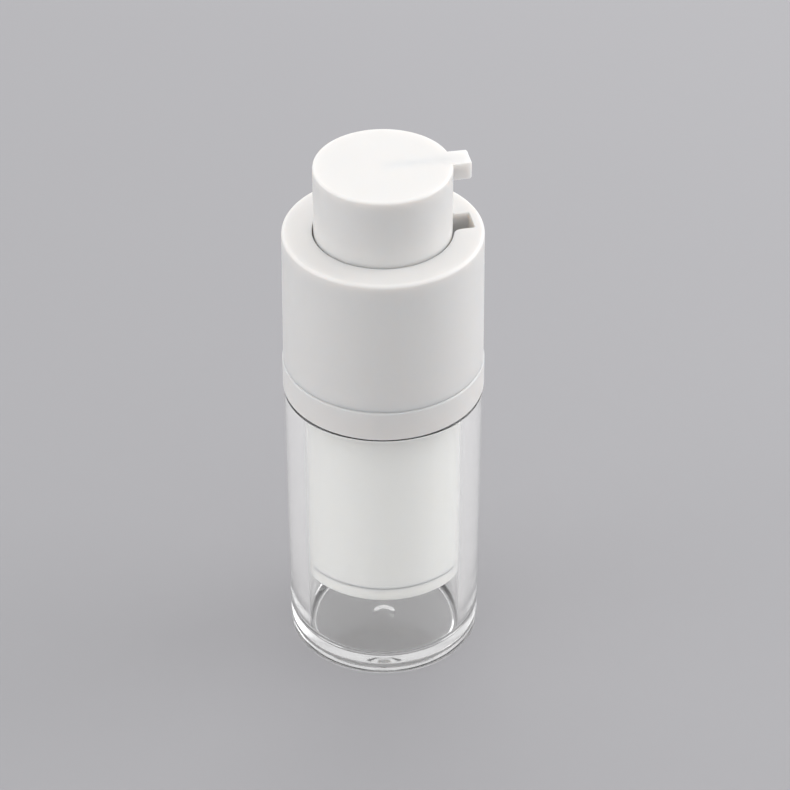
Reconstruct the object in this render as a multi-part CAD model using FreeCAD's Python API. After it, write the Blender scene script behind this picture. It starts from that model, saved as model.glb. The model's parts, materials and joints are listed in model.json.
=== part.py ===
"""Twist-up airless pump bottle of 15 ml, in millimetres, +Z up, origin under the centre of the foot.

The model stands raised, ready to dose, with the nozzle along +X. Turning the collar counter-clockwise
lowers the whole cartridge: the carrier's two lugs run in the helical slots of the fixed cam sleeve and
in the straight tracks of the collar's liner. Radii are worked out from the product bore outwards, and
heights from the foot upwards.
"""

import FreeCAD, Part
import math
import os

# Travel of the moving pieces
lift = 12.6
twist_degrees = 150.0
press_stroke = 3.5
slip_stroke = 0.8
ball_lift = 1.0

# Fits and running gaps
fit = 0.02
seal_gap = 0.05
slide_gap = 0.1
stop_gap = 0.1
run_gap = 0.15
clear_gap = 0.3
overrun = 1.0

# Outer bottle
bottle_height = 53.2
bottle_wall = 3.45
bottle_draft = 0.25
bore_draft = 0.2
floor_thickness = 1.85
floor_corner = 2.2
gate_radius = 2.15
gate_flat = 0.9
gate_depth = 0.5
gate_dish = 2.2
foot_width = 3.4
foot_recess = 0.5
base_edge = 0.4
shoulder_edge = 0.3
neck_wall = 2.05
neck_edge = 0.3

# Neck ring
ring_gap = 0.2
ring_height = 5.7
ring_overhang = 0.05
ring_edge = 0.2
ring_top_edge = 0.35
ring_lip = 0.8

# Cam sleeve
cam_wall = 1.15
cam_flange = 0.9
cam_edge = 0.2
bead_depth = 0.3
bead_land = 0.4
bead_rise = 0.4
slot_web = 0.5
slot_cap = 1.0

# Collar and its liner
seam_gap = 0.15
liner_wall = 0.88
collar_wall = 1.0
collar_draft = 0.35
collar_edge = 0.6
collar_foot_edge = 0.1
collar_plate = 1.6
guide_wall = 1.0
guide_gap = 0.25
mouth_edge = 0.15
slot_side_gap = 0.3
slot_end_gap = 0.6
slot_floor_gap = 0.5
slot_fillet = 1.6
slot_corner = 0.3
slot_wall = 1.0

# Cartridge: inner bottle, base plug and follower piston
inner_bore = 12.4
inner_wall = 1.1
lift_gap = 0.45
floor_gap = 0.85
inner_edge = 0.8
ceiling_edge = 0.4
cap_neck_radius = 9.6
cap_neck_wall = 1.2
cap_neck_height = 4.4
cap_neck_bead = 0.3
plug_rim = 2.9
plug_plate = 1.2
plug_skirt = 1.6
plug_skirt_wall = 1.1
plug_foot = 1.6
plug_edge = 0.7
vent_radius = 0.75
follower_gap = 0.4
follower_lip = 1.2
follower_waist = 0.6
follower_wall = 1.0
follower_tail = 0.9
follower_edge = 0.5
well_gap = 0.45

# Lift carrier
carrier_wall = 1.0
carrier_floor = 1.4
carrier_depth = 14.9
carrier_rim = 0.5
carrier_corner = 0.5
lug_radius = 1.2
lug_gap = 0.13
lug_tip_gap = 0.25
key_width = 1.6
key_length = 4.0
key_depth = 1.8
key_gap = 0.2

# Neck cap and gasket
cap_wall = 1.0
cap_plate = 1.0
cap_hole = 6.3
cap_edge = 0.3
gasket_thickness = 0.6

# Pump
chamber_bore = 4.5
chamber_wall = 1.0
flange_thickness = 0.9
chamber_reserve = 0.4
ball_radius = 1.2
seat_radius = 0.8
cage_gap = 0.35
cage_lip = 0.4
cage_lip_depth = 0.6
inlet_length = 0.8
inlet_wall = 1.0
closure_thickness = 0.9
closure_plug = 1.6
closure_plug_wall = 0.9
tower_wall = 1.1
tower_height = 2.6
tower_edge = 0.3

# Stem, its core and its sliding piston
stem_radius = 2.9
stem_bore = 1.3
stem_land_radius = 3.4
stem_land_height = 1.7
stem_socket = 7.0
stem_edge = 0.3
spring_seat_radius = 6.2
spring_seat_height = 1.2
core_radius = 1.9
core_length = 4.0
core_head_radius = 3.2
core_head_height = 1.0
core_bore = 0.95
port_radius = 0.5
hub_wall = 0.9
hub_height = 2.4
sleeve_wall = 0.55
sleeve_height = 3.8
sleeve_lip = 0.8
sleeve_waist = 0.15
web_height = 1.0

# Return spring
spring_length = 12.0
spring_wire = 0.8
spring_radius = 4.9
spring_turns = 6
spring_arcs_per_turn = 4
spring_samples_per_turn = 48
spring_least_gap = 0.4

# Push button
head_gap = 0.77
head_proud = 0.1
head_plate = 1.6
head_wall = 1.1
head_edge = 0.5
skirt_gap = 0.6
skirt_edge = 0.2
boss_wall = 1.5
nozzle_reach = 3.0
nozzle_width = 4.1
nozzle_tip_width = 4.0
nozzle_height = 3.15
nozzle_edge = 0.3
outlet_radius = 1.0
duct_wall = 0.7

# A rounding takes at most this share of the shorter side beside it
rounding_share = 0.48

# The neck's snap bead starts at this share of the neck's height
snap_height_share = 0.4

ORIGIN = FreeCAD.Vector(0, 0, 0)
UP = FreeCAD.Vector(0, 0, 1)
LUG_ANGLES = (90.0, 270.0)
FULL_TURN = 360.0

# Radii, from the product bore outwards; the carrier clears the neck cap and covers the inner bottle
inner_radius = inner_bore + inner_wall
cap_bore = cap_neck_radius + cap_neck_bead + seal_gap
cap_radius = cap_bore + cap_wall
carrier_radius = max(inner_radius, cap_radius + clear_gap + carrier_wall)
carrier_bore = carrier_radius - carrier_wall
bottle_bore = carrier_radius + lift_gap
floor_radius = bottle_bore - bore_draft
bottle_radius = bottle_bore + bottle_wall
base_radius = bottle_radius - bottle_draft
neck_radius = bottle_bore + neck_wall
cam_radius = bottle_bore + cam_wall
bead_radius = cam_radius + bead_depth
liner_bore = cam_radius + run_gap
liner_radius = liner_bore + liner_wall
collar_inner = liner_radius + fit
collar_top_radius = collar_inner + collar_wall
collar_base_radius = collar_top_radius + collar_draft
ring_radius = collar_base_radius + ring_overhang
head_radius = carrier_bore - head_gap
head_bore = head_radius - head_wall
collar_mouth = head_radius + guide_gap
guide_radius = collar_mouth + guide_wall
nozzle_tip = head_radius + nozzle_reach
slot_end = nozzle_tip + slot_end_gap
slot_half_width = nozzle_width / 2 + slot_side_gap
lug_tip = collar_inner - lug_tip_gap
flange_radius = cap_neck_radius
chamber_radius = chamber_bore + chamber_wall
guide_hole = stem_radius + slide_gap

# Helix of the cam, from the closed lug to the raised lug
twist = math.radians(twist_degrees)
helix_angle = math.atan2(lift, bottle_bore * twist)
slot_radius = lug_radius + lug_gap
slot_half_height = slot_radius / math.cos(helix_angle)

# Heights, from the foot upwards
ring_bottom = bottle_height + ring_gap
ring_top = ring_bottom + ring_height
cam_flange_top = ring_top - ring_lip
neck_top = cam_flange_top - cam_flange
collar_bottom = ring_top + seam_gap
bead_bottom = collar_bottom + bead_rise
bead_top = bead_bottom + bead_land + 2 * bead_depth
lug_closed = bead_top + slot_web + slot_half_height
lug_raised = lug_closed + lift
sleeve_top = lug_raised + slot_radius + slot_cap
guide_bottom = sleeve_top + clear_gap
slot_depth = nozzle_height + press_stroke + slot_floor_gap - head_proud
collar_top = guide_bottom + slot_depth
head_top = collar_top + head_proud + lift

# Heights of the cartridge, raised
cartridge_bottom = floor_thickness + floor_gap + lift
wall_bottom = cartridge_bottom + plug_rim
plug_top = wall_bottom + plug_skirt
carrier_top = lug_raised + lug_radius + carrier_rim
shoulder = carrier_top - carrier_depth
ceiling = shoulder - inner_wall
cap_neck_top = shoulder + cap_neck_height
flange_bottom = cap_neck_top + gasket_thickness
flange_top = flange_bottom + flange_thickness
closure_top = flange_top + closure_thickness
cap_top = closure_top + cap_plate
skirt_bottom = cap_top + skirt_gap + press_stroke

# Heights of the pump, raised and not pressed
plug_end = flange_top - closure_plug
land_top = flange_top - stop_gap
land_bottom = land_top - stem_land_height
hub_top = land_bottom - slip_stroke - stop_gap
hub_bottom = hub_top - hub_height
core_head_top = hub_bottom - seal_gap
core_bottom = core_head_top - core_head_height
sleeve_bottom = hub_top - sleeve_height
chamber_floor = min(core_bottom, sleeve_bottom) - press_stroke - chamber_reserve
cage_top = chamber_floor - cage_lip
cage_radius = ball_radius + cage_gap
cage_lip_bore = cage_radius - cage_lip_depth
ball_stop = ball_lift + stop_gap + math.sqrt(ball_radius ** 2 - cage_lip_bore ** 2)
ball_height = cage_top - ball_stop
cone_bottom = ball_height + seat_radius - (ball_radius + seal_gap) * math.sqrt(2)
cone_top = cone_bottom + cage_radius - seat_radius
housing_bottom = cone_bottom - inlet_length
spring_top = closure_top + spring_length
boss_bottom = spring_top + spring_seat_height
stem_top = boss_bottom + stem_socket
outlet_height = head_top - nozzle_height / 2

# Heights of the follower piston at the full bottle
well_depth = ceiling - housing_bottom + well_gap
well_radius = chamber_radius + well_gap
follower_bottom = plug_top + follower_gap
follower_top = follower_bottom + well_depth + follower_wall + follower_tail


def corner_arc(before, corner, after):
    """Start, middle and end of the arc that rounds an outline's corner, all alike where it is sharp."""
    here = FreeCAD.Vector(corner[0], 0, corner[1])
    if len(corner) == 2:
        return here, here, here
    back = FreeCAD.Vector(before[0], 0, before[1]) - here
    ahead = FreeCAD.Vector(after[0], 0, after[1]) - here
    half_angle = back.getAngle(ahead) / 2
    longest = rounding_share * min(back.Length, ahead.Length)
    reach = min(corner[2] / math.tan(half_angle), longest)
    rounding = reach * math.tan(half_angle)
    back.normalize()
    ahead.normalize()
    inward = (back + ahead).normalize()
    middle = here + inward * (rounding / math.sin(half_angle) - rounding)
    return here + back * reach, middle, here + ahead * reach


def section(corners):
    """Face in the XZ plane through corners (radius, height) or (radius, height, rounding)."""
    following = corners[1:] + corners[:1]
    arcs = [corner_arc(*three) for three in zip(corners[-1:] + corners[:-1], corners, following)]
    edges = []
    for arc, next_arc in zip(arcs, arcs[1:] + arcs[:1]):
        start, middle, end = arc
        if start != end:
            edges.append(Part.Arc(start, middle, end).toShape())
        edges.append(Part.LineSegment(end, next_arc[0]).toShape())
    return Part.Face(Part.Wire(edges))


def turned(corners):
    """Solid of revolution about the bottle's axis."""
    return section(corners).revolve(ORIGIN, UP, FULL_TURN)


def block(low, high):
    """Box between two opposite corners."""
    size = [far - near for near, far in zip(low, high)]
    return Part.makeBox(*size, FreeCAD.Vector(*low))


def radial_pin(radius, start, end, angle, height):
    """Cylinder that points away from the axis at an angle in degrees."""
    outward = FreeCAD.Vector(math.cos(math.radians(angle)), math.sin(math.radians(angle)), 0)
    return Part.makeCylinder(radius, end - start, outward * start + UP * height, outward)


def at_angle(shape, angle):
    """Copy of a shape turned about the bottle's axis."""
    turned_copy = shape.copy()
    turned_copy.rotate(ORIGIN, UP, angle)
    return turned_copy


def outer_bottle():
    foot_inner = base_radius - foot_width
    gate_top = foot_recess + gate_depth
    return turned([
        (0, gate_top),
        (gate_flat, gate_top, gate_dish),
        (gate_radius, foot_recess),
        (foot_inner - foot_recess, foot_recess),
        (foot_inner, 0),
        (base_radius, 0, base_edge),
        (bottle_radius, bottle_height, shoulder_edge),
        (neck_radius, bottle_height),
        (neck_radius, neck_top, neck_edge),
        (bottle_bore, neck_top, neck_edge),
        (floor_radius, floor_thickness, floor_corner),
        (0, floor_thickness),
    ])


def neck_ring():
    ring_bore = neck_radius + fit
    lip_bore = cam_radius + clear_gap
    return turned([
        (ring_bore, ring_bottom),
        (ring_radius, ring_bottom, ring_edge),
        (ring_radius, ring_top, ring_top_edge),
        (lip_bore, ring_top),
        (lip_bore, cam_flange_top),
        (ring_bore, cam_flange_top),
    ])


def helical_slot():
    """Cutter for one cam slot: a helical band from the closed lug up to the raised lug, with round ends."""
    inside = bottle_bore - overrun
    outside = bead_radius + overrun
    pitch = lift * FULL_TURN / twist_degrees
    path = Part.makeHelix(pitch, lift, bottle_bore, 0, True)
    corners = [
        FreeCAD.Vector(inside, 0, -slot_half_height),
        FreeCAD.Vector(outside, 0, -slot_half_height),
        FreeCAD.Vector(outside, 0, slot_half_height),
        FreeCAD.Vector(inside, 0, slot_half_height),
    ]
    band = Part.Wire(path).makePipeShell([Part.makePolygon(corners + corners[:1])], True, True)
    band.rotate(ORIGIN, UP, twist_degrees)
    band.translate(UP * lug_closed)
    raised_end = radial_pin(slot_radius, inside, outside, 0, lug_raised)
    closed_end = radial_pin(slot_radius, inside, outside, twist_degrees, lug_closed)
    return [band, raised_end, closed_end]


def cam_sleeve():
    cam_flange_radius = neck_radius - fit
    sleeve = turned([
        (bottle_bore, neck_top),
        (cam_flange_radius, neck_top),
        (cam_flange_radius, cam_flange_top),
        (cam_radius, cam_flange_top),
        (cam_radius, bead_bottom),
        (bead_radius, bead_bottom + bead_depth),
        (bead_radius, bead_top - bead_depth),
        (cam_radius, bead_top),
        (cam_radius, sleeve_top, cam_edge),
        (bottle_bore, sleeve_top, cam_edge),
    ])
    for angle in LUG_ANGLES:
        for cutter in helical_slot():
            sleeve = sleeve.cut(at_angle(cutter, angle))
    return sleeve


def mouth_and_slot():
    """Outline of the collar's mouth with the nozzle slot, as a flat face on the XY plane."""
    bore_to_slot = slot_half_width + slot_fillet
    fillet_reach = math.sqrt((collar_mouth + slot_fillet) ** 2 - bore_to_slot ** 2)
    edges = []
    for side in (1, -1):
        centre = FreeCAD.Vector(fillet_reach, side * bore_to_slot, 0)
        on_slot = FreeCAD.Vector(fillet_reach, side * slot_half_width, 0)
        on_bore = centre * (collar_mouth / centre.Length)
        halfway = (on_slot + on_bore) * 0.5 - centre
        between = centre + halfway.normalize() * slot_fillet
        corner_centre = FreeCAD.Vector(slot_end - slot_corner, side * (slot_half_width - slot_corner), 0)
        before_corner = corner_centre + FreeCAD.Vector(0, side * slot_corner, 0)
        after_corner = corner_centre + FreeCAD.Vector(slot_corner, 0, 0)
        in_corner = corner_centre + FreeCAD.Vector(1, side, 0).normalize() * slot_corner
        far_side = FreeCAD.Vector(-collar_mouth, 0, 0)
        quarter = FreeCAD.Vector(0, side * collar_mouth, 0)
        edges.append(Part.Arc(far_side, quarter, on_bore).toShape())
        edges.append(Part.Arc(on_bore, between, on_slot).toShape())
        edges.append(Part.LineSegment(on_slot, before_corner).toShape())
        edges.append(Part.Arc(before_corner, in_corner, after_corner).toShape())
    edges.append(Part.LineSegment(edges[3].lastVertex().Point, edges[7].lastVertex().Point).toShape())
    return Part.Face(Part.Wire(Part.__sortEdges__(edges)))


def twist_collar():
    plate_bottom = collar_top - collar_plate
    blank_bore = collar_mouth - guide_wall
    collar = turned([
        (collar_inner, collar_bottom),
        (collar_base_radius, collar_bottom, collar_foot_edge),
        (collar_top_radius, collar_top, collar_edge),
        (blank_bore, collar_top),
        (blank_bore, guide_bottom),
        (guide_radius, guide_bottom),
        (guide_radius, plate_bottom),
        (collar_inner, plate_bottom),
    ])
    pocket_half_width = slot_half_width + slot_wall
    pocket_end = collar_inner + collar_wall / 2
    pocket_low = (collar_mouth, -pocket_half_width, guide_bottom)
    pocket_high = (pocket_end, pocket_half_width, plate_bottom)
    collar = collar.fuse(block(pocket_low, pocket_high))
    opening = mouth_and_slot().extrude(UP * (slot_depth + 2 * overrun))
    opening.translate(UP * (guide_bottom - overrun))
    collar = collar.cut(opening).removeSplitter()
    top_face = max(collar.Faces, key=lambda face: face.CenterOfMass.z)
    rims = [wire for wire in top_face.Wires if not wire.isSame(top_face.OuterWire)]
    return collar.makeFillet(mouth_edge, rims[0].Edges)


def drive_liner():
    groove_radius = bead_radius + run_gap
    groove_bottom = bead_bottom - run_gap
    groove_top = bead_top + run_gap
    liner = turned([
        (liner_bore, collar_bottom),
        (liner_radius, collar_bottom),
        (liner_radius, guide_bottom - fit),
        (liner_bore, guide_bottom - fit),
        (liner_bore, groove_top),
        (groove_radius, groove_top - bead_depth),
        (groove_radius, groove_bottom + bead_depth),
        (liner_bore, groove_bottom),
    ])
    track_half_width = lug_radius + run_gap
    track = block(
        (liner_bore - overrun, -track_half_width, collar_bottom - overrun),
        (liner_radius + overrun, track_half_width, lug_raised),
    )
    for angle in LUG_ANGLES:
        track_end = radial_pin(track_half_width, liner_bore - overrun, liner_radius + overrun, angle, lug_raised)
        liner = liner.cut(at_angle(track, angle)).cut(track_end)
    return liner


def lift_carrier():
    floor_hole = cap_radius + fit
    floor_top = shoulder + carrier_floor
    carrier = turned([
        (floor_hole, shoulder),
        (carrier_radius, shoulder),
        (carrier_radius, carrier_top),
        (carrier_bore, carrier_top),
        (carrier_bore, floor_top, carrier_corner),
        (floor_hole, floor_top),
    ])
    wall_middle = carrier_bore + carrier_wall / 2
    key = block(
        (carrier_bore - key_depth, -key_width / 2, carrier_top - key_length),
        (wall_middle, key_width / 2, carrier_top),
    )
    for angle in LUG_ANGLES:
        lug = radial_pin(lug_radius, wall_middle, lug_tip, angle, lug_raised)
        carrier = carrier.fuse(lug).fuse(at_angle(key, angle))
    return carrier.removeSplitter()


def inner_bottle():
    neck_bore = cap_neck_radius - cap_neck_wall
    bead_height = shoulder + cap_neck_height * snap_height_share
    return turned([
        (inner_bore, wall_bottom),
        (inner_radius, wall_bottom),
        (inner_radius, shoulder, inner_edge),
        (cap_neck_radius, shoulder),
        (cap_neck_radius, bead_height),
        (cap_neck_radius + cap_neck_bead, bead_height + cap_neck_bead),
        (cap_neck_radius + cap_neck_bead, bead_height + 2 * cap_neck_bead),
        (cap_neck_radius, bead_height + 3 * cap_neck_bead),
        (cap_neck_radius, cap_neck_top),
        (neck_bore, cap_neck_top),
        (neck_bore, ceiling),
        (inner_bore, ceiling, ceiling_edge),
    ])


def base_plug():
    plug_radius = inner_bore - fit
    skirt_bore = plug_radius - plug_skirt_wall
    foot_bore = inner_radius - plug_foot
    plate_bottom = wall_bottom - plug_plate
    return turned([
        (vent_radius, plate_bottom),
        (foot_bore, plate_bottom),
        (foot_bore, cartridge_bottom),
        (inner_radius, cartridge_bottom, plug_edge),
        (inner_radius, wall_bottom),
        (plug_radius, wall_bottom),
        (plug_radius, plug_top),
        (skirt_bore, plug_top),
        (skirt_bore, wall_bottom),
        (vent_radius, wall_bottom),
    ])


def follower_piston():
    lip_radius = inner_bore - seal_gap
    waist_radius = lip_radius - follower_waist
    skirt_bore = waist_radius - follower_wall
    well_floor = follower_top - well_depth
    crown_bottom = follower_top - follower_wall
    return turned([
        (0, well_floor - follower_wall),
        (well_radius + follower_wall, well_floor - follower_wall),
        (well_radius + follower_wall, crown_bottom),
        (skirt_bore, crown_bottom),
        (skirt_bore, follower_bottom),
        (lip_radius, follower_bottom),
        (lip_radius, follower_bottom + follower_lip),
        (waist_radius, follower_bottom + follower_lip + follower_waist),
        (waist_radius, follower_top - follower_lip - follower_waist),
        (lip_radius, follower_top - follower_lip),
        (lip_radius, follower_top, follower_edge),
        (well_radius, follower_top),
        (well_radius, well_floor),
        (0, well_floor),
    ])


def neck_cap():
    bead_height = shoulder + cap_neck_height * snap_height_share
    cap_bottom = shoulder + fit
    catch_bore = cap_neck_radius + seal_gap
    return turned([
        (cap_hole, closure_top),
        (cap_bore, closure_top),
        (cap_bore, bead_height),
        (catch_bore, bead_height - cap_neck_bead),
        (catch_bore, cap_bottom),
        (cap_radius, cap_bottom),
        (cap_radius, cap_top, cap_edge),
        (cap_hole, cap_top, cap_edge),
    ])


def neck_gasket():
    return turned([
        (chamber_radius + fit, cap_neck_top),
        (flange_radius, cap_neck_top),
        (flange_radius, flange_bottom),
        (chamber_radius + fit, flange_bottom),
    ])


def pump_housing():
    inlet_radius = cage_radius + inlet_wall
    return turned([
        (seat_radius, housing_bottom),
        (inlet_radius, housing_bottom),
        (inlet_radius, chamber_floor - chamber_wall),
        (chamber_radius, chamber_floor - chamber_wall),
        (chamber_radius, flange_bottom),
        (flange_radius, flange_bottom),
        (flange_radius, flange_top),
        (chamber_bore, flange_top),
        (chamber_bore, chamber_floor),
        (cage_lip_bore, chamber_floor),
        (cage_lip_bore, cage_top),
        (cage_radius, cage_top),
        (cage_radius, cone_top),
        (seat_radius, cone_bottom),
    ])


def pump_closure():
    plug_radius = chamber_bore - fit
    tower_radius = guide_hole + tower_wall
    return turned([
        (guide_hole, flange_top),
        (plug_radius - closure_plug_wall, flange_top),
        (plug_radius - closure_plug_wall, plug_end),
        (plug_radius, plug_end),
        (plug_radius, flange_top),
        (flange_radius, flange_top),
        (flange_radius, closure_top),
        (tower_radius, closure_top),
        (tower_radius, closure_top + tower_height, tower_edge),
        (guide_hole, closure_top + tower_height),
    ])


def pump_stem():
    socket_radius = core_radius + fit
    socket_top = core_head_top + slip_stroke + hub_height + core_length + fit
    return turned([
        (socket_radius, land_bottom),
        (stem_land_radius, land_bottom),
        (stem_land_radius, land_top),
        (stem_radius, land_top),
        (stem_radius, spring_top),
        (spring_seat_radius, spring_top),
        (spring_seat_radius, boss_bottom),
        (stem_radius, boss_bottom),
        (stem_radius, stem_top, stem_edge),
        (stem_bore, stem_top),
        (stem_bore, socket_top),
        (socket_radius, socket_top),
    ])


def stem_core():
    core_top = core_head_top + slip_stroke + hub_height + core_length
    core = turned([
        (0, core_bottom),
        (core_head_radius, core_bottom),
        (core_head_radius, core_head_top),
        (core_radius, core_head_top),
        (core_radius, core_top),
        (core_bore, core_top),
        (core_bore, core_head_top),
        (0, core_head_top),
    ])
    port_height = core_head_top + port_radius + slide_gap
    for angle in LUG_ANGLES:
        core = core.cut(radial_pin(port_radius, 0, core_radius + overrun, angle, port_height))
    return core


def stem_piston():
    hub_bore = core_radius + slide_gap
    hub_radius = hub_bore + hub_wall
    lip_radius = chamber_bore - seal_gap
    waist_radius = lip_radius - sleeve_waist
    sleeve_bore = waist_radius - sleeve_wall
    web_bottom = hub_bottom + (hub_height - web_height) / 2
    web_top = web_bottom + web_height
    return turned([
        (hub_bore, hub_bottom),
        (hub_radius, hub_bottom),
        (hub_radius, web_bottom),
        (sleeve_bore, web_bottom),
        (sleeve_bore, sleeve_bottom),
        (lip_radius, sleeve_bottom),
        (lip_radius, sleeve_bottom + sleeve_lip),
        (waist_radius, sleeve_bottom + sleeve_lip + sleeve_waist),
        (waist_radius, hub_top - sleeve_lip - sleeve_waist),
        (lip_radius, hub_top - sleeve_lip),
        (lip_radius, hub_top),
        (sleeve_bore, hub_top),
        (sleeve_bore, web_top),
        (hub_radius, web_top),
        (hub_radius, hub_top),
        (hub_bore, hub_top),
    ])


def inlet_ball():
    return Part.makeSphere(ball_radius, UP * ball_height)


def coil_points(samples_per_turn):
    """Points and unit tangents along the spring's wire, from the closure up to the stem's seat."""
    low = closure_top + spring_wire / 2 + seal_gap
    rise = spring_length - spring_wire - 2 * seal_gap
    count = spring_turns * samples_per_turn
    slope = rise / (spring_turns * 2 * math.pi)
    stations = []
    for step in range(count + 1):
        angle = 2 * math.pi * step / samples_per_turn
        across = FreeCAD.Vector(math.cos(angle), math.sin(angle), 0)
        along = FreeCAD.Vector(-across.y * spring_radius, across.x * spring_radius, slope)
        stations.append((across * spring_radius + UP * (low + slope * angle), along.normalize()))
    return stations


def biarc(start, start_way, end, end_way):
    """Two arcs that leave a point in one direction and reach another point in a second one."""
    chord = end - start
    ways = start_way + end_way
    across = chord.dot(ways)
    spare = 2 * (1 - start_way.dot(end_way))
    reach = (math.sqrt(across ** 2 + spare * chord.dot(chord)) - across) / spare
    first_knee = start + start_way * reach
    second_knee = end - end_way * reach
    joint = (first_knee + second_knee) * 0.5
    edges = []
    for near, knee, far in ((start, first_knee, joint), (joint, second_knee, end)):
        weight = (far - near).Length / (2 * reach)
        middle = (near + far + knee * (2 * weight)) * (1 / (2 + 2 * weight))
        edges.append(Part.Arc(near, middle, far).toShape())
    return edges


def return_spring():
    stations = coil_points(spring_arcs_per_turn)
    edges = []
    for (start, start_way), (end, end_way) in zip(stations, stations[1:]):
        edges += biarc(start, start_way, end, end_way)
    start, start_way = stations[0]
    ring = Part.Wire(Part.makeCircle(spring_wire / 2, start, start_way))
    spring = Part.Wire(edges).makePipeShell([ring], True, False)
    report_coil(spring, sum(edge.Length for edge in edges))
    return spring


def report_coil(spring, wire_length):
    """Print the coil's least gap to itself, measured on points, and its volume beside wire area by length."""
    places = [place for place, way in coil_points(spring_samples_per_turn)]
    half_turn = spring_samples_per_turn // 2
    pairs = (
        (places[i] - places[j]).Length
        for i in range(len(places))
        for j in range(i + half_turn, len(places))
    )
    gap = min(pairs) - spring_wire
    expected = math.pi * (spring_wire / 2) ** 2 * wire_length
    print(f"return_spring: least gap {gap:.2f} mm, wanted over {spring_least_gap}")
    print(f"return_spring: volume {spring.Volume:.2f} mm3, wire area by length {expected:.2f} mm3")


def nozzle():
    """Short spout flush with the button's top, narrowing to its tip, with its upright edges rounded."""
    root = head_radius - head_wall / 2
    low = head_top - nozzle_height
    corners = [
        FreeCAD.Vector(root, -nozzle_width / 2, low),
        FreeCAD.Vector(nozzle_tip, -nozzle_tip_width / 2, low),
        FreeCAD.Vector(nozzle_tip, nozzle_tip_width / 2, low),
        FreeCAD.Vector(root, nozzle_width / 2, low),
    ]
    spout = Part.Face(Part.makePolygon(corners + corners[:1])).extrude(UP * nozzle_height)
    tip_edges = [edge for edge in spout.Edges if edge.BoundBox.XMin > head_radius]
    return spout.makeFillet(nozzle_edge, tip_edges)


def push_button():
    plate_bottom = head_top - head_plate
    boss_bore = stem_radius + fit
    boss_radius = boss_bore + boss_wall
    button = turned([
        (boss_bore, boss_bottom),
        (boss_radius, boss_bottom),
        (boss_radius, plate_bottom),
        (head_bore, plate_bottom),
        (head_bore, skirt_bottom),
        (head_radius, skirt_bottom, skirt_edge),
        (head_radius, head_top, head_edge),
        (0, head_top),
        (0, stem_top),
        (boss_bore, stem_top),
    ])
    duct_half_width = outlet_radius + duct_wall
    duct = block(
        (boss_bore, -duct_half_width, head_top - nozzle_height),
        (head_radius - head_wall / 2, duct_half_width, plate_bottom),
    )
    button = button.fuse(duct).fuse(nozzle())
    rising = Part.makeCylinder(stem_bore, outlet_height - stem_top + overrun, UP * (stem_top - overrun))
    outlet = radial_pin(outlet_radius, 0, nozzle_tip + overrun, 0, outlet_height)
    button = button.cut(rising).cut(outlet)
    key_half_width = key_width / 2 + key_gap
    key_slot = block(
        (head_bore - overrun, -key_half_width, skirt_bottom - overrun),
        (head_radius + overrun, key_half_width, carrier_top + press_stroke + clear_gap),
    )
    for angle in LUG_ANGLES:
        button = button.cut(at_angle(key_slot, angle))
    return button.removeSplitter()


PIECES = (
    outer_bottle,
    neck_ring,
    cam_sleeve,
    twist_collar,
    drive_liner,
    lift_carrier,
    inner_bottle,
    base_plug,
    follower_piston,
    neck_cap,
    neck_gasket,
    pump_housing,
    pump_closure,
    pump_stem,
    stem_core,
    stem_piston,
    inlet_ball,
    return_spring,
    push_button,
)


def main():
    """Build every piece and write each one to its own file."""
    os.makedirs("parts", exist_ok=True)
    for piece in PIECES:
        shape = piece()
        assert shape.isValid() and len(shape.Solids) == 1, piece.__name__
        shape.Solids[0].exportStep(f"parts/{piece.__name__}.step")


main()
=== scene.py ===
"""Looks of the twist-up airless pump bottle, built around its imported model.

Lengths are in metres and +Z points up. The bottle stands raised with its nozzle along +X. New pieces
are turned about the bottle's axis, cut and rounded in place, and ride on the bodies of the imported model.
"""

import json
import logging
import math
from collections.abc import Callable, Mapping, Sequence
from dataclasses import dataclass
from enum import Enum

import bmesh
import bpy
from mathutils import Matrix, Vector


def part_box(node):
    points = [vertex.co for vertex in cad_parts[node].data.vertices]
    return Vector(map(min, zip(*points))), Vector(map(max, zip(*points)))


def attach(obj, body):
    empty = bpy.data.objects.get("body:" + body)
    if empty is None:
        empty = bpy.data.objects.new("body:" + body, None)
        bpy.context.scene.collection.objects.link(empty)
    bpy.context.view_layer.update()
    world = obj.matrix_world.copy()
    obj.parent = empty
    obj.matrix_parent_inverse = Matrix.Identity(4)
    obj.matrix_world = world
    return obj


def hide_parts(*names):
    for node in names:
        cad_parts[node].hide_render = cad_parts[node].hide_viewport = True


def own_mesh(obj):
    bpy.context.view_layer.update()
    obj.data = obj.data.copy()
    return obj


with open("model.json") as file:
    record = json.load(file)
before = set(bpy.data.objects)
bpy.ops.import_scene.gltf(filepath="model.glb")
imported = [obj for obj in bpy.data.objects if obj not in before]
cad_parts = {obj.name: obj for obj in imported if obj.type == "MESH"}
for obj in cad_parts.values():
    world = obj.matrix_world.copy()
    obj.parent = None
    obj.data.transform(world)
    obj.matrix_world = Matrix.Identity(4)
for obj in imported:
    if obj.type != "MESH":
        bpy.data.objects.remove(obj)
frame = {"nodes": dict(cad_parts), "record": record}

LOG = logging.getLogger("airless_bottle")

MM = 0.001
NEAR = 0.001 * MM
CUT_NEAR = 10 * NEAR
UP = (0.0, 0.0, 1.0)
ORIGIN = (0.0, 0.0, 0.0)
WHITE = (1.0, 1.0, 1.0)
MID_LEVEL = 0.5
TURN_STEPS = 192
ROD_STEPS = TURN_STEPS // 3
ARC_STEP = 0.15 * MM
FEWEST_ARC_STEPS = 4
MOST_ARC_STEPS = 12
ROUNDING_SHARE = 0.48
CREASE = math.radians(35)
SEED_SIZE = 1.0 * MM
OVERRUN = 1.0 * MM

Tint = tuple[float, float, float]
Place = tuple[float, float, float]
Setting = float | int | str | bool
SocketValue = "float | tuple[float, ...] | Wire"


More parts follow.
